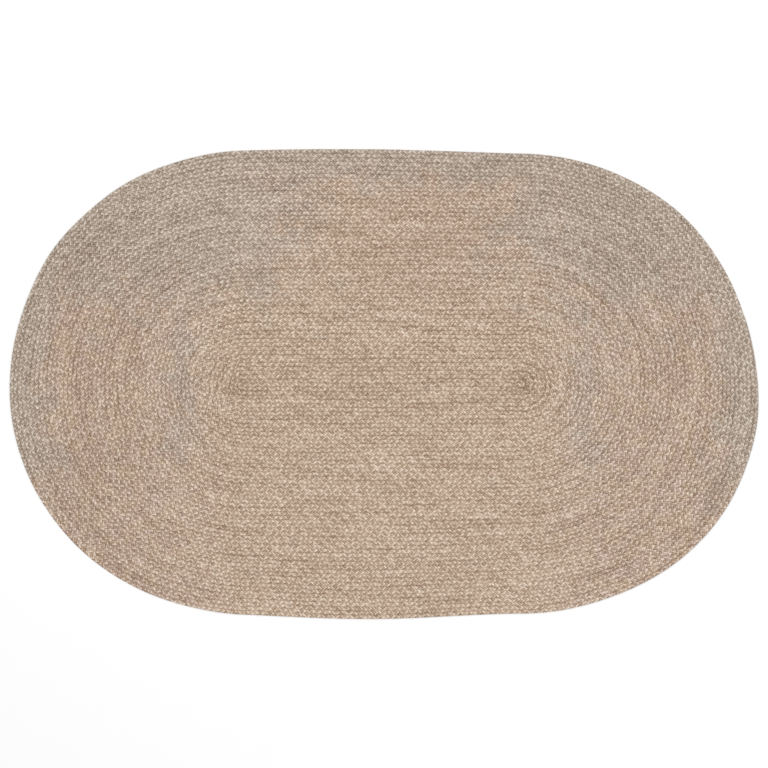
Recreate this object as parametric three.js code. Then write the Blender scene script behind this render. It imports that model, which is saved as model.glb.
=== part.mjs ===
// An oval rug made of one long three-strand jute braid, lying flat.
// The braid starts as a short straight row in the middle, folds back on itself and is coiled
// round that row, each turn sewn to the side of the turn before it, until its tail tapers off.
// The braid is continuous, so the coil is a true spiral: every half turn it moves out by half
// a braid. All sizes are in millimetres, with +X along the rug, +Y across it and +Z up.
import * as THREE from 'three';

// Driving sizes
const BRAID_WIDTH = 13.18; // one row of the coil, from seam to seam
const FULL_TURNS = 57; // turns laid round the centre row before the last half turn
const HALF_STRAIGHT = 452; // half the length of the straight centre row
const THICKNESS = 9; // floor to the top of a row
const SEAM_HEIGHT = 5.6; // floor to the bottom of the groove between two rows
const EDGE_HEIGHT = 4.5; // floor to the widest line of the outermost row
const EDGE_UNDERCUT = 3; // how far the outermost row turns in below its widest line

// The coil turns about a point that lies a little off the middle of the finished rug. The
// origin is that middle, on the floor.
const COIL_CENTRE = { x: -2.3, y: -0.2 };

// Steps that the coil is drawn with
const END_STEPS = 20; // round each end of a turn
const SIDE_STEPS = 4; // along each straight side of a turn
const TAIL_STEPS = 12; // round the last right end, up to where the tail stops
const TAPER_STEPS = 3; // over which the tail thins out to nothing

// The rug's edge isn't a true oval. It swings in and out in long soft waves: how many waves go
// round the rug, how far each swings, and where its first crest lies, as a share of the way
// round the edge from the upper left, where a turn starts.
const EDGE_WAVES = [
  { waves: 1, swing: 4.9, crest: 0.911 },
  { waves: 2, swing: 4.4, crest: 0.132 },
  { waves: 3, swing: 2.8, crest: 0.318 },
  { waves: 4, swing: 5.0, crest: 0.178 },
  { waves: 5, swing: 3.5, crest: 0.014 },
  { waves: 6, swing: 4.3, crest: 0.099 },
];

const HALF_BRAID = BRAID_WIDTH / 2;
const EDGE_RADIUS = (FULL_TURNS + 0.5) * BRAID_WIDTH;
const END_LENGTH = Math.PI * EDGE_RADIUS;
const SIDE_LENGTH = 2 * HALF_STRAIGHT;

// The four legs of one turn, in the order in which the braid is laid, anticlockwise from above.
// Each gives its steps, its length on the finished edge, and three things at its start and
// stop: the end it turns about (-1 left, 1 right), the outward direction in degrees, and how
// many braid widths the turn has moved out since it started.
const LEGS = [
  // left end
  { steps: END_STEPS, length: END_LENGTH, end: [-1, -1], facing: [90, 270], growth: [0, 0] },
  // lower side
  { steps: SIDE_STEPS, length: SIDE_LENGTH, end: [-1, 1], facing: [270, 270], growth: [0, 0.5] },
  // right end
  { steps: END_STEPS, length: END_LENGTH, end: [1, 1], facing: [270, 450], growth: [0.5, 0.5] },
  // upper side
  { steps: SIDE_STEPS, length: SIDE_LENGTH, end: [1, -1], facing: [450, 450], growth: [0.5, 1] },
];

const TURN_STEPS = 2 * (END_STEPS + SIDE_STEPS);
const TURN_LENGTH = 2 * (END_LENGTH + SIDE_LENGTH);
const LAST_STEP = FULL_TURNS * TURN_STEPS + END_STEPS + SIDE_STEPS + TAIL_STEPS;
const FIRST_EDGE_STEP = LAST_STEP - TURN_STEPS;

const mix = ([start, stop], share) => start + (stop - start) * share;

// How far the waves push the finished edge out, at a share of the way round it.
function edgeSwing(share) {
  let sum = 0;
  for (const { waves, swing, crest } of EDGE_WAVES) {
    sum += swing * Math.cos(2 * Math.PI * waves * (share - crest));
  }
  return sum;
}

// The braid's centre line at a step: the point it turns about, its outward direction, its
// radius from that point, and its share of the way round the edge.
function braidAt(step) {
  const turn = Math.floor(step / TURN_STEPS);
  let stepsLeft = step - turn * TURN_STEPS;
  let lengthBefore = 0;
  let leg = 0;
  while (stepsLeft >= LEGS[leg].steps) {
    stepsLeft -= LEGS[leg].steps;
    lengthBefore += LEGS[leg].length;
    leg += 1;
  }
  const { steps, length, end, facing, growth } = LEGS[leg];
  const share = stepsLeft / steps;
  const angle = THREE.MathUtils.degToRad(mix(facing, share));
  return {
    pivot: new THREE.Vector2(HALF_STRAIGHT, BRAID_WIDTH / 4).multiplyScalar(mix(end, share)),
    outward: new THREE.Vector2(Math.cos(angle), Math.sin(angle)),
    radius: (turn + mix(growth, share)) * BRAID_WIDTH,
    edgeShare: (lengthBefore + length * share) / TURN_LENGTH,
  };
}

// A point of the rug: a step along the braid, a distance to the outer side of its centre line,
// and a height. The edge's waves fade out towards the middle of the coil.
const points = [];
function addPoint(step, sideways, height) {
  const { pivot, outward, radius, edgeShare } = braidAt(step);
  const reach = radius + sideways;
  const fade = (reach / EDGE_RADIUS) ** 2;
  const place = outward.multiplyScalar(reach + fade * edgeSwing(edgeShare)).add(pivot);
  points.push(place.x + COIL_CENTRE.x, place.y + COIL_CENTRE.y, height);
  return points.length / 3 - 1;
}

// The tail narrows over its last steps, with its inner side against the turn inside it.
const fullness = (step) => Math.min(1, (LAST_STEP - step) / TAPER_STEPS);
const crownOffset = (step) => HALF_BRAID * (fullness(step) - 1);
const outerOffset = (step) => HALF_BRAID * (2 * fullness(step) - 1);

// Each row has a rounded top, drawn as a crown line and the seam on its outer side. The braid's
// first end is one point, which the row's left end turns about.
const crown = [];
const outerSeam = [];
for (let step = 0; step < LAST_STEP; step += 1) {
  const isFirstEnd = step > 0 && step <= END_STEPS;
  const crownHeight = SEAM_HEIGHT + (THICKNESS - SEAM_HEIGHT) * fullness(step);
  const seamHeight = step < FIRST_EDGE_STEP ? SEAM_HEIGHT : EDGE_HEIGHT;
  crown.push(isFirstEnd ? crown[0] : addPoint(step, crownOffset(step), crownHeight));
  outerSeam.push(addPoint(step, outerOffset(step), seamHeight));
}
crown.push(outerSeam[FIRST_EDGE_STEP]);
outerSeam.push(outerSeam[FIRST_EDGE_STEP]);

// Above the centre row runs the first seam, which that row shares with the row that folds back
// over it. The braid meets it again, in reverse, once it has turned round the right end.
const firstSeam = [outerSeam[0]];
for (let step = END_STEPS + 1; step <= END_STEPS + SIDE_STEPS; step += 1) {
  firstSeam.push(addPoint(step, -HALF_BRAID, SEAM_HEIGHT));
}

function innerSeam(step) {
  if (step >= TURN_STEPS) {
    return outerSeam[step - TURN_STEPS];
  }
  return firstSeam[Math.min(SIDE_STEPS, step - END_STEPS, TURN_STEPS - step)];
}

// A strip of faces along the braid, between an inner and an outer line, seen from its outside.
const faces = [];
function addFace(a, b, c) {
  if (a !== b && b !== c && c !== a) {
    faces.push(a, b, c);
  }
}
function addStrip(inner, innerNext, outer, outerNext) {
  addFace(inner, outer, outerNext);
  addFace(inner, outerNext, innerNext);
}

for (let step = 0; step < LAST_STEP; step += 1) {
  addStrip(crown[step], crown[step + 1], outerSeam[step], outerSeam[step + 1]);
  if (step >= END_STEPS) {
    addStrip(innerSeam(step), innerSeam(step + 1), crown[step], crown[step + 1]);
  }
}

// Round the rug the outermost row turns in to the floor, and the underside lies flat.
const foot = [];
for (let step = FIRST_EDGE_STEP; step < LAST_STEP; step += 1) {
  foot.push(addPoint(step, outerOffset(step) - EDGE_UNDERCUT, 0));
}
foot.push(foot[0]);
points.push(0, 0, 0);
const underside = points.length / 3 - 1;
for (let side = 0; side < TURN_STEPS; side += 1) {
  const step = FIRST_EDGE_STEP + side;
  addStrip(outerSeam[step], outerSeam[step + 1], foot[side], foot[side + 1]);
  addFace(foot[side], underside, foot[side + 1]);
}

const geometry = new THREE.BufferGeometry();
geometry.setAttribute('position', new THREE.Float32BufferAttribute(points, 3));
geometry.setIndex(faces);
geometry.computeVertexNormals();

const jute = new THREE.MeshStandardMaterial({ color: 0xb8a391, roughness: 0.95, metalness: 0 });
const rug = new THREE.Mesh(geometry, jute);
rug.name = 'braided_rug';

const part = new THREE.Group();
part.name = 'jute_rug';
part.add(rug);

export default part;
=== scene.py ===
import math

import bpy
import numpy as np
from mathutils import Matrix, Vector


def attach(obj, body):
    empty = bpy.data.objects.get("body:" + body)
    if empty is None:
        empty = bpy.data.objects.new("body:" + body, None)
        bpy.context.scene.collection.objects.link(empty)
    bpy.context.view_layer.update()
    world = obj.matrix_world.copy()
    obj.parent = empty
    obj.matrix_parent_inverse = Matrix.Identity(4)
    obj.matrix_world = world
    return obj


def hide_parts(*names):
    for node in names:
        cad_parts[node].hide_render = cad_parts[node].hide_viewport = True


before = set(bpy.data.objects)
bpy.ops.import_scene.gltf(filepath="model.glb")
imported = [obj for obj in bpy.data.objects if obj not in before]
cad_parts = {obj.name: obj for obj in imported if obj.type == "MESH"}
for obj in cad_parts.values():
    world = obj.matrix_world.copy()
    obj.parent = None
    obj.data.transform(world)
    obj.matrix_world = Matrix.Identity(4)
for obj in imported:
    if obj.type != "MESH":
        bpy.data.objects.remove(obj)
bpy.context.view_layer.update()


# The inner turns
# One flat three-strand braid of undyed jute lies as a straight row in the middle of the rug and is
# wound round and round that row, anticlockwise from above, each turn sewn to the side of the last.
# It is cut here into lengths of a few turns each, closed pieces that reach down to the seams.

# The way the braid lies: every distance along it gives a place on the rug.
BRAID_WIDTH = 0.01318
HALF_BRAID = BRAID_WIDTH / 2
FULL_TURNS = 57
HALF_STRAIGHT = 0.452
COIL_CENTRE = (-0.0023, -0.0002)
EDGE_RADIUS = (FULL_TURNS + 0.5) * BRAID_WIDTH
TAIL_SHARE = 0.6  # of the last right end, where the tail stops

# waves round the edge, how far each swings, share of the way round where its first crest lies
EDGE_WAVES = [
    (1, 0.0049, 0.911),
    (2, 0.0044, 0.132),
    (3, 0.0028, 0.318),
    (4, 0.0050, 0.178),
    (5, 0.0035, 0.014),
    (6, 0.0043, 0.099),
]

# one turn: end it turns about (-1 left, 1 right), outward direction in degrees, braid widths
# grown since the turn began, each at the start and at the stop of the leg
LEGS = [
    ((-1, -1), (90, 270), (0.0, 0.0)),
    ((-1, 1), (270, 270), (0.0, 0.5)),
    ((1, 1), (270, 450), (0.5, 0.5)),
    ((1, -1), (450, 450), (0.5, 1.0)),
]

turn_numbers = np.arange(FULL_TURNS + 2)
TURN_STARTS = (
    math.pi * BRAID_WIDTH * (turn_numbers**2 - turn_numbers / 2)
    + 4 * HALF_STRAIGHT * turn_numbers
)
BRAID_LENGTH = (
    TURN_STARTS[FULL_TURNS]
    + math.pi * FULL_TURNS * BRAID_WIDTH
    + 2 * HALF_STRAIGHT
    + TAIL_SHARE * math.pi * EDGE_RADIUS
)


def leg_table(column):
    """A column of the leg table at the start of each leg, and how much it changes over it."""
    values = np.array([leg[column] for leg in LEGS], float)
    return values[:, 0], values[:, 1] - values[:, 0]


def edge_swing(share):
    """How far the rug's edge swings out, at a share of the way round it."""
    return sum(
        swing * np.cos(2 * math.pi * waves * (share - crest))
        for waves, swing, crest in EDGE_WAVES
    )


def place(along, sideways):
    """x and y at a distance along the braid, and one to the outer side of its centre line."""
    turn = np.clip(np.searchsorted(TURN_STARTS, along, side="right") - 1, 0, FULL_TURNS)
    rest = along - TURN_STARTS[turn]
    end_growth = math.pi * BRAID_WIDTH
    straight = np.full(along.shape, 2 * HALF_STRAIGHT)
    lengths = np.stack([end_growth * turn, straight, end_growth * (turn + 0.5), straight])
    stops = np.cumsum(lengths, axis=0)
    leg = (rest >= stops[:3]).sum(axis=0)
    leg = np.maximum(leg, turn == 0)
    length = np.take_along_axis(lengths, leg[None], 0)[0]
    stop = np.take_along_axis(stops, leg[None], 0)[0]
    share = (rest - stop + length) / np.maximum(length, 1e-9)

    def now(column):
        start, change = leg_table(column)
        return start[leg] + change[leg] * share

    end = now(0)
    outward = np.radians(now(1))
    reach = (turn + now(2)) * BRAID_WIDTH + sideways
    end_length = math.pi * EDGE_RADIUS
    edge_lengths = np.array([end_length, 2 * HALF_STRAIGHT, end_length, 2 * HALF_STRAIGHT])
    edge_before = np.cumsum(edge_lengths) - edge_lengths
    edge_share = (edge_before[leg] + edge_lengths[leg] * share) / edge_lengths.sum()
    reach = reach + (reach / EDGE_RADIUS) ** 2 * edge_swing(edge_share)
    x = HALF_STRAIGHT * end + reach * np.cos(outward) + COIL_CENTRE[0]
    y = BRAID_WIDTH / 4 * end + reach * np.sin(outward) + COIL_CENTRE[1]
    return x, y


def turn_before(along):
    """The distance along the braid that lies beside this one, one turn earlier."""
    turn = np.clip(np.searchsorted(TURN_STARTS, along, side="right") - 1, 1, FULL_TURNS)
    turn_lengths = np.diff(TURN_STARTS)
    share = (along - TURN_STARTS[turn]) / turn_lengths[turn]
    return TURN_STARTS[turn - 1] + share * turn_lengths[turn - 1]


# Hand-laid rows aren't perfectly even: they wander by a millimetre or so, all together.
WANDER_WAVES = 7
WANDER_SIZE = 0.0008
WANDER_LENGTHS = (0.16, 0.7)
wander_draw = np.random.default_rng(11)
wander_waves = [
    (
        wander_draw.uniform(0, 2 * math.pi),
        wander_draw.uniform(*WANDER_LENGTHS),
        wander_draw.uniform(0, 2 * math.pi),
        wander_draw.uniform(0, 2 * math.pi),
    )
    for _ in range(WANDER_WAVES)
]


def wander(x, y):
    """The place that x and y wander to."""
    shift_x = np.zeros_like(x)
    shift_y = np.zeros_like(y)
    for heading, length, phase, pull in wander_waves:
        wave = np.sin(2 * math.pi * (x * math.cos(heading) + y * math.sin(heading)) / length + phase)
        shift_x += wave * math.cos(pull)
        shift_y += wave * math.sin(pull)
    return x + WANDER_SIZE * shift_x, y + WANDER_SIZE * shift_y


# The stitches: each is one strand that comes up at the side of the row, slants forward to the
# row's middle and dives under the next strand from the other side.
STITCH = 0.01007  # from one stitch to the next on the same side of a row
FIRST_STATION = -4  # half stitches before the start, drawn up into its rounded nose
SPLIT_HEIGHT = 0.0044  # where the upper side ends and the underside begins
END_SINK = 0.0003  # the middle of each closed end lies lower than its rims
TAPER = 0.36  # length over which the tail thins out

# The lines of points across half a row, from its middle out, in the groove between two stitches
# and over a stitch's crown: share of the way out, sideways, height, how far forward it slants.
# Each stitch's first point lies over the middle of the row, where it covers the tip of another.
GROOVE_LINE = [
    (0.00, 0.0025, 0.0079, 0.0045),
    (0.40, 0.0038, 0.0068, 0.0032),
    (0.75, 0.0052, 0.0060, 0.0017),
    (1.00, 0.0063, 0.0052, 0.0000),
]
CROWN_LINE = [
    (0.00, -0.0025, 0.0079, 0.0045),
    (0.40, 0.0015, 0.0090, 0.0057),
    (0.75, 0.0045, 0.0080, 0.0026),
    (1.00, 0.0066, 0.0056, 0.0000),
]

# How unevenly the stitches are pulled, for each side of the row and each stitch.
LIFT_SPREAD = 0.00028
SLIP_SPREAD = 0.00060
SPARE_STITCHES = 8
STITCH_COUNT = int(BRAID_LENGTH / STITCH) + SPARE_STITCHES
stitch_draw = np.random.default_rng(23)
STITCH_LIFT = stitch_draw.normal(0, LIFT_SPREAD, (2, STITCH_COUNT))
STITCH_SLIP = stitch_draw.normal(0, SLIP_SPREAD, (2, STITCH_COUNT))


def whole_row(inner_half, outer_half):
    """One line across the row, from the inner seam to the outer one."""
    inner = np.array(inner_half)[:0:-1] * (-1, -1, 1, 1)
    return np.concatenate([inner, np.array(outer_half)])


def rounded_start(along):
    """Distances before the braid's start, drawn up into half a braid width, and how full it is."""
    before = np.minimum(along, 0)
    drawn = np.maximum(along, 0) - HALF_BRAID * (1 - np.exp(before / HALF_BRAID))
    nose = np.sqrt(1 - (np.minimum(drawn, 0) / HALF_BRAID) ** 2)
    return drawn, nose


def tail_left(station):
    """1 along the braid, going to 0 over its tapering tail."""
    return np.clip((BRAID_LENGTH - station[:, None] * STITCH / 2) / TAPER, 0, 1)


def braid_grid(first, last, outer_groove, outer_crown):
    """Points of the upper side from one half stitch to another, by station and column."""
    station = np.arange(first, last + 1)
    odd = station % 2
    # At an even station the outer half has a crown and the inner half a groove.
    lines = np.stack([
        whole_row(GROOVE_LINE, outer_crown),
        whole_row(CROWN_LINE, outer_groove),
    ])
    across, sideways, height, forward = np.moveaxis(lines[odd], -1, 0)
    columns = np.arange(across.shape[1])
    middle = len(GROOVE_LINE) - 1
    outer = columns > middle
    on_crown = (outer[None] != odd[:, None].astype(bool)) * (columns != middle)
    number = np.clip((station - FIRST_STATION) // 2, 0, STITCH_COUNT - 1)
    half = outer.astype(int)[None]
    along = station[:, None] * STITCH / 2 + forward
    along = along + STITCH_SLIP[half, number[:, None]] * on_crown
    along, nose = rounded_start(along)
    height = height + STITCH_LIFT[half, number[:, None]] * on_crown * (height > SPLIT_HEIGHT)
    tail = tail_left(station)
    sideways = -HALF_BRAID + (sideways * nose + HALF_BRAID) * tail
    height = SPLIT_HEIGHT + (height - SPLIT_HEIGHT) * nose * tail
    x, y = wander(*place(along, sideways))
    return np.stack([x, y, height], axis=-1), station, across[0]


def closed_mesh(name, points, turned):
    """A closed mesh from points by station and column, and the point at each of its corners."""
    stations, columns, _ = points.shape
    index = np.arange(stations * columns).reshape(stations, columns)
    beside = np.roll(index, -1, axis=1)
    sides = np.stack([index[:-1], beside[:-1], beside[1:], index[1:]], axis=-1)
    # Each face is split into triangles from its first corner, along the stitch and not across it.
    sides = np.where(turned[..., None], np.roll(sides, -1, axis=-1), sides)
    # Each end is closed by a fan of triangles from a low point between its two rims.
    hubs = (points[[0, -1], 0] + points[[0, -1], -1]) / 2 - (0, 0, END_SINK)
    hub = stations * columns
    fan = [
        np.stack([np.full(columns, hub), beside[0], index[0]], axis=-1),
        np.stack([np.full(columns, hub + 1), index[-1], beside[-1]], axis=-1),
    ]
    corners = np.concatenate([sides.ravel(), fan[0].ravel(), fan[1].ravel()])
    starts = np.concatenate([
        np.arange(0, sides.size, 4),
        sides.size + np.arange(0, 6 * columns, 3),
    ])
    places = np.concatenate([points.reshape(-1, 3), hubs])
    mesh = bpy.data.meshes.new(name)
    mesh.vertices.add(hub + 2)
    mesh.vertices.foreach_set("co", places.astype(np.float32).ravel())
    mesh.loops.add(len(corners))
    mesh.loops.foreach_set("vertex_index", corners.astype(np.int32))
    mesh.polygons.add(len(starts))
    mesh.polygons.foreach_set("loop_start", starts.astype(np.int32))
    mesh.update(calc_edges=True)
    return mesh, corners


def number_stitches(mesh, corners, station, across, stitched):
    """Gives every corner its stitch, and every point its share of the way out to the seam."""
    stations, columns = len(station), len(across)
    shares = np.append(np.tile(across, stations), [1, 1])
    made = mesh.attributes.new("across", "FLOAT", "POINT")
    made.data.foreach_set("value", shares.astype(np.float32))
    # Stitches are counted along each side of the row, with whole numbers in the grooves. A strand
    # shows on one side and one and a half stitches later on the other. Where a crown runs out over
    # the middle, its end belongs to the groove behind it.
    row = np.minimum(corners // columns, stations - 1)
    inner_faces = across + np.roll(across, -1) < 0
    inner = np.zeros(len(corners), bool)
    inner[: (stations - 1) * columns * 4] = np.tile(np.repeat(inner_faces, 4), stations - 1)
    crown = (station[row] % 2 == 0) != inner
    numbers = station[row] / 2 + np.where(inner, 2.0, 0.5)
    numbers = numbers - 0.5 * (crown & (across[corners % columns] == 0) & stitched)
    made = mesh.attributes.new("stitch", "FLOAT", "CORNER")
    made.data.foreach_set("value", numbers.astype(np.float32))
    # A seam is counted by the row on its inner side, so that both its rows agree on it.
    along = station[row] * STITCH / 2
    seams = np.where(inner, turn_before(along), along)
    made = mesh.attributes.new("seam", "FLOAT", "CORNER")
    made.data.foreach_set("value", seams.astype(np.float32))


def sharpen(mesh, station, columns, middle, stitched):
    """Makes the edges sharp in the grooves, along the middle, round the ends and on the rims."""
    edges = np.empty(len(mesh.edges) * 2, np.int32)
    mesh.edges.foreach_get("vertices", edges)
    row, column = np.divmod(edges.reshape(-1, 2), columns)
    same_row = row[:, 0] == row[:, 1]
    lowest = column.min(axis=1)
    wraps = (column.max(axis=1) - lowest) > 1
    odd = (row[:, 0] + station[0]) % 2 == 1
    groove = np.where(lowest < middle, ~odd, odd)
    along_middle = ~same_row & (column == middle).all(axis=1)
    along_rim = ~same_row & ((column == 0) | (column == columns - 1)).all(axis=1)
    at_end = same_row & ((row[:, 0] == 0) | (row[:, 0] == len(station) - 1))
    sharp = (same_row & (groove | wraps) | along_middle) & stitched | along_rim | at_end
    made = mesh.attributes.new("sharp_edge", "BOOLEAN", "EDGE")
    made.data.foreach_set("value", sharp)


# How the bake's map is filled, in shares of a strip's height or of the whole map.
STRIP_FOOT = 0.03
STRIP_FILL = 0.92
LAST_COLUMN_FILL = 0.7
SIDE_MARGIN = 0.004
SIDE_FILL = 0.992
FAN_MIDDLE = (0.002, 0.998)
FAN_RADIUS = 0.001


def lay_flat(mesh, corners, stations, columns, strips):
    """The bake's map: the braid cut into strips of equal length, one above the other."""
    faces = (stations - 1) * columns
    per_strip = math.ceil((stations - 1) / strips)
    face_station, face_column = np.divmod(np.repeat(np.arange(faces), 4), columns)
    station, column = np.divmod(corners[: faces * 4], columns)
    column = np.where((face_column == columns - 1) & (column == 0), columns, column)
    strip = face_station // per_strip
    along = (station - strip * per_strip) / per_strip
    share = np.minimum(column / (columns - LAST_COLUMN_FILL), 1)
    up = (strip + STRIP_FOOT + STRIP_FILL * share) / strips
    turn = np.linspace(0, 2 * math.pi, len(corners) - faces * 4, endpoint=False)
    uv = np.empty((len(corners), 2), np.float32)
    uv[: faces * 4, 0] = SIDE_MARGIN + SIDE_FILL * along
    uv[: faces * 4, 1] = up
    uv[faces * 4 :, 0] = FAN_MIDDLE[0] + FAN_RADIUS * np.cos(turn)
    uv[faces * 4 :, 1] = FAN_MIDDLE[1] + FAN_RADIUS * np.sin(turn)
    layer = mesh.uv_layers.new(name="OFBake")
    layer.data.foreach_set("uv", uv.ravel())


def braid_piece(name, points, station, across, strips, material, stitched=True):
    """A closed piece of the braid, with its material and its place on the rug."""
    columns = len(across)
    middle = np.flatnonzero(across == 0)[0]
    column = np.arange(columns)[None]
    odd = station[:-1, None] % 2 == 1
    turned = (column < middle) & ~((column == middle - 1) & odd)
    turned = (turned | ((column == middle) & ~odd)) & stitched
    mesh, corners = closed_mesh(name, points, turned)
    number_stitches(mesh, corners, station, across, stitched)
    sharpen(mesh, station, columns, middle, stitched)
    lay_flat(mesh, corners, len(station), columns, strips)
    mesh.validate()
    mesh.materials.append(material)
    piece = bpy.data.objects.new(name, mesh)
    bpy.context.scene.collection.objects.link(piece)
    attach(piece, "root")
    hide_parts("braided_rug")
    return piece


# The jute's colour from its darkest tone to its palest: warm for most of the rug, rosier in
# mottles at both ends, and greyer in places.
WARM_JUTE = [
    (0.06, (0.1347, 0.0642, 0.0222, 1)),
    (0.40, (0.5243, 0.3871, 0.2789, 1)),
    (0.81, (0.8558, 0.7245, 0.6098, 1)),
]
ROSY_JUTE = [
    (0.06, (0.1310, 0.0601, 0.0256, 1)),
    (0.40, (0.5108, 0.3719, 0.2863, 1)),
    (0.81, (0.8393, 0.7059, 0.6203, 1)),
]
GREY_JUTE = [
    (0.06, (0.1128, 0.0636, 0.0302, 1)),
    (0.40, (0.4545, 0.3666, 0.2903, 1)),
    (0.81, (0.7780, 0.6946, 0.6172, 1)),
]
JUTE_TONE = 0.545  # of fibre in full light on a crown

# The make of a strand.
STRANDS = 3.0
YARNS = 3.0
COUNT_START = 30.0  # added to the stitches' numbers, so that none is below 0
FIBRES_OVER = 5.5  # coarse fibres over a stitch, from groove to groove
FIBRES_DOWN = 2.6  # and down it, from its tip to the seam
NEXT_STITCH = 7.13  # steps in the fibres' noise, so that no two stitches are alike
NEXT_SIDE = 3.37
STRAND_ANGLE = math.tau / STRANDS  # between the strands, in how dark they are
STRAND_SWITCH = (0.05, 14.0)  # how soon and how far the darker strand changes along the braid
SWITCH_DRIFT = (1.0, 1.0, 0.5)  # the noise it changes by: its scale, detail and roughness
SIDE_APART = 40.0  # in metres, so that the two sides of a row drift each in its own way
ROW_DRIFT = (3.0, 2.0, 0.6)
# the noise by which the painted seam shade drifts along a seam
SEAM_SHADE_DRIFT = (4.0, 2.0, 0.6)

# How the tone changes over a stitch, or from one to the next: where the change begins and ends,
# and the tone at either end of it.
STRAND_SWING = (0.0, 0.60, 0.53, 0.22)  # down a stitch, how much the strands differ
STITCH_SPREAD = (0.0, 1.0, 0.90, 1.10)  # by chance, for each stitch
ROW_SPREAD = (0.3, 0.7, 0.84, 1.16)  # by noise, along one side of a row
# painted shade in the dark lines between the yarns
YARN_SHADE_LINES = (0.25, 0.5, 1.03, 0.80)  # from a yarn's back to the line beside it
FIBRE_SPREAD = (0.32, 0.68, 0.63, 1.37)  # by noise, from fibre to fibre
# Painted shade in the grooves, and a painted highlight on the crowns.
GROOVE_SHADE_SPREAD = (0.0, 1.0, 0.38, 0.95)  # by chance, for each groove
CROWN_TO_GROOVE = (0.10, 0.42)  # over a stitch
CROWN_HIGHLIGHT = 1.12
# Painted shade down into the seams and where a tip dives under the next, a little lighter at the
# tip.
SEAM_SHADE_SPREAD = (0.3, 0.7, 0.92, 0.60)  # by noise, along a seam
TIP_TO_SEAM = (0.15, 1.0)  # down a stitch
TIP_TONE = 1.05
TIP_DIVE_SHADE = (0.0, 0.30, 0.82, 1.0)  # down a stitch, where its tip dives under the next

# How the tone changes over the rug: what it is measured by, where that begins and ends in metres,
# the tone at either end, and whether it changes softly.
PLACE_TONES = [
    ("tight", 0.0, 0.07, 0.86, 1.0, True),
    ("to_middle", 0.0, 0.22, 0.95, 1.02, True),
    ("beyond", 0.12, 0.42, 1.0, 0.92, True),
    ("beyond", 0.55, 0.72, 1.0, 1.05, True),
    ("y", -0.65, -0.30, 1.01, 1.0, False),
    ("x", -1.0, 1.0, 0.98, 1.02, False),
]

# A darker, rosier patch in the upper part of the rug.
UPPER_MIDDLE = 0.18
UPPER_WIDTH = (0.12, 0.60, 1.0, 0.0)
UPPER_HEIGHT = (0.12, 0.36)
UPPER_DARKER = -0.08
UPPER_ROSY = 0.3

# Where the jute is greyer: round the rim at both ends, in the two upper corners, and in an arc of
# turns a hand's breadth beyond each end of the middle row.
RIM_REACH = (0.58, 0.74, 0.0, 1.2)
RIM_HEIGHT = (-0.50, -0.15)
CORNERS_MIDDLE = 0.07
CORNER_REACH = (0.10, 0.65, 0.0, 1.2)
CORNER_HEIGHT = (0.08, 0.50)
ARC_BEYOND = 0.21
ARC_WIDTH = (0.0, 0.12, 0.66, 0.0)
ARC_HEIGHT = (0.20, 0.36, 1.0, 0.0)
PATCH_NOISE = (11.0, 3.0, 0.6)
MOTTLE_NOISE = (19.0, 2.0, 0.5)
GREY_PATCHES = (0.3, 0.7, -0.38, 0.38)
GREY_SHOWS = (0.15, 0.95)

# Where it is rosy: in mottles beyond the ends of the middle row.
ROSY_PATCHES = (0.3, 0.7, 0.1, -0.1)
ROSY_BEYOND = (0.05, 0.25)
ROSY_MOTTLES = (0.40, 0.56)

# The finest relief, as bumps: the yarns' round backs, their twist and their fibres.
YARN_BACK = -4.0
FIBRE_HEIGHT = 0.5
TWIST_HEIGHT = 0.10
TWIST_OVER = 9.0
TWIST_DOWN = 26.0
BUMP_SHARE = 0.7
BUMP_DEPTH = 0.0007

FIBRE_NOISE = (1.0, 3.0, 0.7)
ROUGHNESS_SPREAD = (0.2, 0.8, 0.82, 0.96)
SHINE = 0.25
SHEEN = 0.08
SHEEN_ROUGHNESS = 0.6


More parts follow.
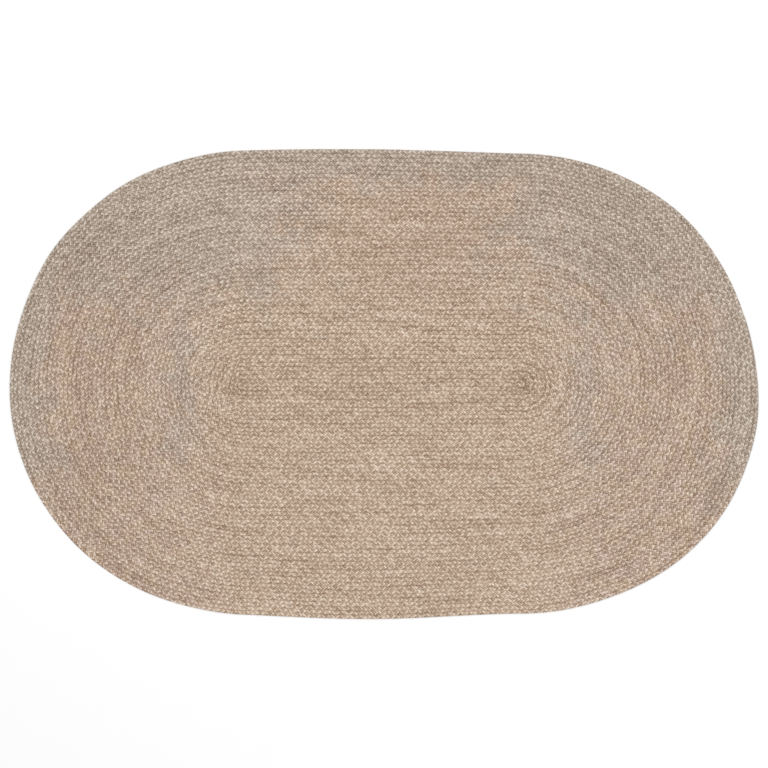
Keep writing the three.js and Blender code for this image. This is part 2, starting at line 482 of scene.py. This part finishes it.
class Nodes:
    """Makes the nodes of one material, and links what is given as a socket."""

    def __init__(self, tree):
        self.tree = tree

    def add(self, kind, inputs=None, **settings):
        """One node of this kind, with its settings and inputs."""
        made = self.tree.nodes.new(kind)
        for name, value in settings.items():
            setattr(made, name, value)
        for socket, value in (inputs or {}).items():
            if isinstance(value, bpy.types.NodeSocket):
                self.tree.links.new(value, made.inputs[socket])
            else:
                made.inputs[socket].default_value = value
        return made

    def math(self, operation, *values):
        """One step of arithmetic."""
        inputs = dict(enumerate(values))
        return self.add("ShaderNodeMath", inputs, operation=operation).outputs[0]

    def product(self, *factors):
        """All the factors multiplied together."""
        result = factors[0]
        for factor in factors[1:]:
            result = self.math("MULTIPLY", result, factor)
        return result

    def attribute(self, name):
        return self.add("ShaderNodeAttribute", attribute_name=name).outputs["Fac"]

    def vector(self, x, y, z):
        return self.add("ShaderNodeCombineXYZ", {0: x, 1: y, 2: z}).outputs[0]

    def between(self, value, low, high, new_low=0.0, new_high=1.0, smooth=False):
        """A value brought from one range to another, and held inside it."""
        limits = {"From Min": low, "From Max": high, "To Min": new_low, "To Max": new_high}
        kind = "SMOOTHSTEP" if smooth else "LINEAR"
        made = self.add("ShaderNodeMapRange", {"Value": value, **limits}, interpolation_type=kind)
        return made.outputs["Result"]

    def noise(self, vector, scale, detail, roughness):
        """Soft noise over a place."""
        inputs = {"Vector": vector, "Scale": scale, "Detail": detail, "Roughness": roughness}
        return self.add("ShaderNodeTexNoise", inputs).outputs[0]

    def drift(self, distance, scale, detail, roughness):
        """Soft noise along a distance."""
        inputs = {"W": distance, "Scale": scale, "Detail": detail, "Roughness": roughness}
        return self.add("ShaderNodeTexNoise", inputs, noise_dimensions="1D").outputs[0]

    def chance(self, number, side):
        """A value from 0 to 1 that stays the same over one stitch or groove."""
        inputs = {"Vector": self.vector(number, side, 0.0)}
        made = self.add("ShaderNodeTexWhiteNoise", inputs, noise_dimensions="2D")
        return made.outputs["Value"]

    def ramp(self, factor, stops):
        """A colour between these stops."""
        made = self.add("ShaderNodeValToRGB", {0: factor})
        elements = made.color_ramp.elements
        for _ in stops[2:]:
            elements.new(0.5)
        for element, (position, colour) in zip(elements, stops):
            element.position = position
            element.color = colour
        return made.outputs[0]

    def mix(self, factor, first, second):
        made = self.add("ShaderNodeMix", {0: factor, 6: first, 7: second}, data_type="RGBA")
        return made.outputs[2]


class Jute(Nodes):
    """The nodes of the jute, from where each point lies on its stitch and on the rug."""

    def __init__(self, tree):
        super().__init__(tree)
        self.along = self.attribute("stitch")
        across = self.attribute("across")
        self.inner = self.math("LESS_THAN", across, 0.0)
        self.down = self.math("ABSOLUTE", across)  # 0 at its tip in the row's middle, 1 at the seam
        self.counted = self.math("ADD", self.along, COUNT_START)
        self.number = self.math("FLOOR", self.counted)
        self.over = self.math("FRACT", self.counted)  # 0 and 1 in the grooves beside the stitch
        self.off_crown = self.off(self.over, 0.5)
        yarn = self.math("FRACT", self.math("MULTIPLY", self.over, YARNS))
        self.off_yarn = self.off(yarn, 0.5)
        own_stitch = self.math("MULTIPLY", self.number, NEXT_STITCH)
        fibre_place = self.vector(
            self.math("MULTIPLY", self.over, FIBRES_OVER),
            self.math("MULTIPLY", self.down, FIBRES_DOWN),
            self.math("MULTIPLY_ADD", self.inner, NEXT_SIDE, own_stitch),
        )
        self.fibres = self.noise(fibre_place, *FIBRE_NOISE)
        self.spot = self.add("ShaderNodeTexCoord").outputs["Object"]
        self.x, self.y, _ = self.add("ShaderNodeSeparateXYZ", {0: self.spot}).outputs
        past_end = self.math("SUBTRACT", self.off(self.x, 0.0), HALF_STRAIGHT)
        self.beyond = self.math("MAXIMUM", past_end, 0.0)  # past the ends of the middle row
        self.tight = self.distance(past_end, self.y)  # away from the nearer end of that row
        self.to_middle = self.distance(self.beyond, self.y)  # away from the row itself
        self.upper = self.product(
            self.between(self.y, *UPPER_HEIGHT),
            self.between(self.off(self.x, UPPER_MIDDLE), *UPPER_WIDTH),
        )

    def off(self, value, middle):
        """How far a value is from this middle, to either side."""
        return self.math("ABSOLUTE", self.math("SUBTRACT", value, middle))

    def distance(self, x, y):
        """How far off a place is that lies this far off in x and in y."""
        squares = self.math("ADD", self.math("MULTIPLY", x, x), self.math("MULTIPLY", y, y))
        return self.math("SQRT", squares)

    def strand_tone(self):
        """One strand of the three is darker, and not the same one all along the braid."""
        soon, far = STRAND_SWITCH
        switch = self.drift(self.math("MULTIPLY", self.along, soon), *SWITCH_DRIFT)
        strand = self.math("MODULO", self.number, STRANDS)
        angle = self.math("MULTIPLY", strand, STRAND_ANGLE)
        turned = self.math("MULTIPLY_ADD", switch, far, angle)
        swing = self.between(self.down, *STRAND_SWING)
        return self.math("MULTIPLY_ADD", self.math("SINE", turned), swing, 1.0)

    def stitch_tone(self):
        """Each stitch has its own tone, and each side of a row drifts lighter or darker."""
        stitch = self.between(self.chance(self.number, self.inner), *STITCH_SPREAD)
        side = self.math("MULTIPLY", self.inner, SIDE_APART)
        drift = self.drift(self.math("MULTIPLY_ADD", self.along, STITCH, side), *ROW_DRIFT)
        return self.product(stitch, self.between(drift, *ROW_SPREAD))

    def yarn_shade_and_fibre_tone(self):
        """A strand is three yarns side by side, of many fibres, with painted shade in the lines
        between them.
        """
        yarn = self.between(self.off_yarn, *YARN_SHADE_LINES, smooth=True)
        return self.product(yarn, self.between(self.fibres, *FIBRE_SPREAD))

    def groove_shade_and_crown_highlight(self):
        """Painted shade in the grooves beside the stitch, deep where a groove is open and faint
        where it is closed, and a painted highlight along its crown.
        """
        groove = self.math("FLOOR", self.math("ADD", self.counted, 0.5))
        groove_shade = self.between(self.chance(groove, self.inner), *GROOVE_SHADE_SPREAD)
        return self.between(self.off_crown, *CROWN_TO_GROOVE, CROWN_HIGHLIGHT, groove_shade, smooth=True)

    def seam_shade(self):
        """Painted shade down into the seams between rows, and a little where the tips dive under in
        the middle.
        """
        seam_shade = self.between(self.drift(self.attribute("seam"), *SEAM_SHADE_DRIFT), *SEAM_SHADE_SPREAD)
        seam = self.between(self.down, *TIP_TO_SEAM, TIP_TONE, seam_shade)
        return self.product(seam, self.between(self.down, *TIP_DIVE_SHADE))

    def place_tone(self):
        """Darker round the coil's two ends and near the middle row, darker again further beyond its
        ends and paler at the far ends, a little lighter towards the bottom and the right, and darker
        in the upper patch.
        """
        tones = [
            self.between(getattr(self, measured), *change, smooth=softly)
            for measured, *change, softly in PLACE_TONES
        ]
        return self.product(*tones, self.math("MULTIPLY_ADD", self.upper, UPPER_DARKER, 1.0))

    def colour(self):
        """The jute's colour, by its tone and by where it lies on the rug. The tone carries painted
        shade between the yarns, in the grooves and down into the seams, and a painted highlight on
        the crowns.
        """
        tone = self.product(
            self.strand_tone(),
            self.stitch_tone(),
            self.yarn_shade_and_fibre_tone(),
            self.groove_shade_and_crown_highlight(),
            self.seam_shade(),
            self.place_tone(),
            JUTE_TONE,
        )
        patches = self.noise(self.spot, *PATCH_NOISE)
        warm = self.mix(self.rosy(patches), self.ramp(tone, WARM_JUTE), self.ramp(tone, ROSY_JUTE))
        return self.mix(self.grey(patches), warm, self.ramp(tone, GREY_JUTE))

    def grey(self, patches):
        """How grey the jute is, from 0 to 1."""
        rim = self.product(
            self.between(self.to_middle, *RIM_REACH), self.between(self.y, *RIM_HEIGHT)
        )
        corner = self.product(
            self.between(self.off(self.x, CORNERS_MIDDLE), *CORNER_REACH),
            self.between(self.y, *CORNER_HEIGHT),
        )
        arc = self.product(
            self.between(self.off(self.beyond, ARC_BEYOND), *ARC_WIDTH),
            self.between(self.off(self.y, 0.0), *ARC_HEIGHT),
        )
        grey = self.math("MAXIMUM", self.math("MAXIMUM", rim, corner), arc)
        grey = self.math("ADD", grey, self.between(patches, *GREY_PATCHES))
        return self.between(grey, *GREY_SHOWS, smooth=True)

    def rosy(self, patches):
        """How rosy the jute is, from 0 to 1."""
        mottles = self.noise(self.spot, *MOTTLE_NOISE)
        reach = self.math("ADD", self.beyond, self.between(patches, *ROSY_PATCHES))
        rosy = self.product(
            self.between(reach, *ROSY_BEYOND), self.between(mottles, *ROSY_MOTTLES, smooth=True)
        )
        return self.math("MAXIMUM", rosy, self.math("MULTIPLY", self.upper, UPPER_ROSY))

    def normal(self, stitch_height):
        """Bumps for the yarns, their twist and their fibres, and for stitches of this height."""
        slant = self.math("MULTIPLY", self.down, TWIST_DOWN)
        twist = self.math("SINE", self.math("MULTIPLY_ADD", self.over, TWIST_OVER, slant))
        back = self.product(self.off_yarn, self.off_yarn, YARN_BACK)
        height = self.math("MULTIPLY_ADD", self.fibres, FIBRE_HEIGHT, back)
        height = self.math("MULTIPLY_ADD", twist, TWIST_HEIGHT, height)
        relief = {"Strength": BUMP_SHARE, "Distance": BUMP_DEPTH, "Height": height}
        bump = self.add("ShaderNodeBump", relief)
        if stitch_height:
            half_width = self.math("MULTIPLY", self.off_crown, 2.0)
            dome = self.math("SUBTRACT", 1.0, self.math("MULTIPLY", half_width, half_width))
            stitch = self.add("ShaderNodeBump", {"Distance": stitch_height, "Height": dome})
            self.tree.links.new(stitch.outputs[0], bump.inputs["Normal"])
        return bump.outputs[0]


def jute(name, stitch_height=0):
    """The jute's material. The stitches' height is given where the mesh has none of them."""
    material = bpy.data.materials.new(name)
    material.use_nodes = True
    shader = material.node_tree.nodes["Principled BSDF"]
    nodes = Jute(material.node_tree)
    nodes.tree.links.new(nodes.colour(), shader.inputs["Base Color"])
    nodes.tree.links.new(nodes.normal(stitch_height), shader.inputs["Normal"])
    roughness = nodes.between(nodes.fibres, *ROUGHNESS_SPREAD)
    nodes.tree.links.new(roughness, shader.inputs["Roughness"])
    shader.inputs["Specular IOR Level"].default_value = SHINE
    shader.inputs["Sheen Weight"].default_value = SHEEN
    shader.inputs["Sheen Roughness"].default_value = SHEEN_ROUGHNESS
    return material


braid_jute = jute("braided_jute")

LENGTH_ENDS = [8, 14, 19, 24, 30, 36, 42, 48, 53]  # turns at which the next length begins
STRIP_WIDTH = 0.017  # of the bake's map, for a strip as long as the map is wide
edge_start = (
    TURN_STARTS[FULL_TURNS - 1]
    + math.pi * (FULL_TURNS - 1) * BRAID_WIDTH
    + 2 * HALF_STRAIGHT
    + TAIL_SHARE * math.pi * (FULL_TURNS - 0.5) * BRAID_WIDTH
)
cuts = [FIRST_STATION]
cuts += [int(TURN_STARTS[turn] / STITCH) * 2 for turn in LENGTH_ENDS]
cuts += [int(edge_start / STITCH) * 2]
for number, (first, last) in enumerate(zip(cuts, cuts[1:]), start=1):
    grid = braid_grid(first, last, GROOVE_LINE, CROWN_LINE)
    strips = max(8, round(math.sqrt((last - first) * STITCH / 2 / STRIP_WIDTH)))
    braid_piece(f"braid_length_{number:02d}", *grid, strips, braid_jute)


# The outermost turn
# The last turn of the same braid. Its outer side rounds over the rug's edge and under it, and its
# tail thins out against the turn before, sewn down at the right end.

TAIL_STOP = 0.012  # before the very end, where the tail has thinned out
EDGE_STRIPS = 20

# the outer half of the outermost row, with the same columns as the lines above
EDGE_GROOVE_LINE = [
    (0.00, 0.0025, 0.0079, 0.0045),
    (0.40, 0.0038, 0.0068, 0.0032),
    (0.75, 0.0050, 0.0059, 0.0018),
    (0.95, 0.0057, 0.0048, 0.0006),
    (1.15, 0.0059, 0.0036, 0.0000),
    (1.40, 0.0053, 0.0020, -0.0012),
    (1.75, 0.0038, 0.0010, -0.0030),
]
EDGE_CROWN_LINE = [
    (0.00, -0.0025, 0.0079, 0.0045),
    (0.40, 0.0015, 0.0090, 0.0057),
    (0.75, 0.0043, 0.0080, 0.0028),
    (0.95, 0.0061, 0.0063, 0.0010),
    (1.15, 0.0067, 0.0043, 0.0000),
    (1.40, 0.0061, 0.0020, -0.0012),
    (1.75, 0.0042, 0.0003, -0.0030),
]

last_station = int((BRAID_LENGTH - TAIL_STOP) / STITCH) * 2
grid = braid_grid(cuts[-1], last_station, EDGE_GROOVE_LINE, EDGE_CROWN_LINE)
braid_piece("braid_edge_turn", *grid, EDGE_STRIPS, braid_jute)


# The underside
# The same braid seen from below, pressed flatter where the rug lies on the floor. It is one piece
# from the middle to the edge, under the pieces above.

UNDER_STEP = 4  # half stitches from one station of the underside to the next
UNDER_STRIPS = 40
UNDER_STITCH_HEIGHT = 0.002
EDGE_TUCK = 0.70  # of half a braid, how far the outermost row reaches out below
TUCK_START = 0.02  # before the outermost turn begins

# share of half a braid sideways from outer to inner seam, height, how far back it slants
UNDER_LINE = [
    (1.00, 0.0046, 0.0000),
    (1.00, 0.0028, 0.0000),
    (0.50, 0.0007, 0.0040),
    (0.00, 0.0002, 0.0070),
    (-0.50, 0.0007, 0.0040),
    (-1.00, 0.0028, 0.0000),
    (-1.00, 0.0046, 0.0000),
]

across, height, back = np.array(UNDER_LINE).T
station = np.arange(-UNDER_STEP, last_station, UNDER_STEP)
along, nose = rounded_start(station[:, None] * STITCH / 2 - back)
outermost = station[:, None] * STITCH / 2 > edge_start - TUCK_START
reach = across * np.where(outermost & (across > 0), EDGE_TUCK, 1.0) * HALF_BRAID * nose
sideways = -HALF_BRAID + (reach + HALF_BRAID) * tail_left(station)
x, y = wander(*place(along, sideways))
points = np.stack([x, y, np.broadcast_to(height, x.shape)], axis=-1)
underside = braid_piece(
    "rug_underside",
    points,
    station,
    across,
    UNDER_STRIPS,
    jute("jute_underside", UNDER_STITCH_HEIGHT),
    stitched=False,
)


# The studio
# A plain white floor under soft, even light from above, seen by a camera straight above.

FLOOR_SIZE = 40.0
FLOOR_WHITE = (0.93, 0.93, 0.93, 1)
SKY_WHITE = (1.0, 1.0, 1.0, 1)
SKY_STRENGTH = 0.34
floor_mesh = bpy.data.meshes.new("studio_floor")
half = FLOOR_SIZE / 2
floor_mesh.from_pydata(
    [(-half, -half, 0), (half, -half, 0), (half, half, 0), (-half, half, 0)], [], [(0, 1, 2, 3)]
)
floor = bpy.data.objects.new("studio_floor", floor_mesh)
bpy.context.scene.collection.objects.link(floor)
floor_paint = bpy.data.materials.new("floor_paint")
floor_paint.use_nodes = True
floor_shader = floor_paint.node_tree.nodes["Principled BSDF"]
floor_shader.inputs["Base Color"].default_value = FLOOR_WHITE
floor_shader.inputs["Roughness"].default_value = 0.9
floor_shader.inputs["Specular IOR Level"].default_value = 0.1
floor_mesh.materials.append(floor_paint)

world = bpy.data.worlds.new("studio")
world.use_nodes = True
sky = world.node_tree.nodes["Background"]
sky.inputs["Color"].default_value = SKY_WHITE
sky.inputs["Strength"].default_value = SKY_STRENGTH
bpy.context.scene.world = world

# name, place, size of the soft box, power in watts
SOFT_BOXES = [
    ("key_light", (-3.0, 3.5, 8.0), 4.0, 420),
    ("fill_light", (3.5, -2.5, 8.0), 5.0, 370),
]
for name, spot, size, power in SOFT_BOXES:
    light = bpy.data.lights.new(name, "AREA")
    light.shape = "SQUARE"
    light.size = size
    light.energy = power
    lamp = bpy.data.objects.new(name, light)
    lamp.location = spot
    lamp.rotation_mode = "QUATERNION"
    lamp.rotation_quaternion = (-Vector(spot)).to_track_quat("-Z", "Y")
    bpy.context.scene.collection.objects.link(lamp)

PICTURE_WIDTH = 2.496  # of the rug's upper side, across the whole picture
RUG_THICKNESS = 0.009
LENS = 85.0
SENSOR = 36.0
camera_data = bpy.data.cameras.new("camera")
camera_data.lens = LENS
camera_data.sensor_width = SENSOR
camera_data.clip_end = 100
camera = bpy.data.objects.new("camera", camera_data)
camera.location = (0.0, 0.0, RUG_THICKNESS + PICTURE_WIDTH * LENS / SENSOR)
bpy.context.scene.collection.objects.link(camera)
bpy.context.scene.camera = camera
bpy.context.scene.view_settings.view_transform = "Standard"
# In the picture a stitch is only three pixels long, and filtered guides blur the straight rows.
bpy.context.scene.cycles.denoising_prefilter = "NONE"
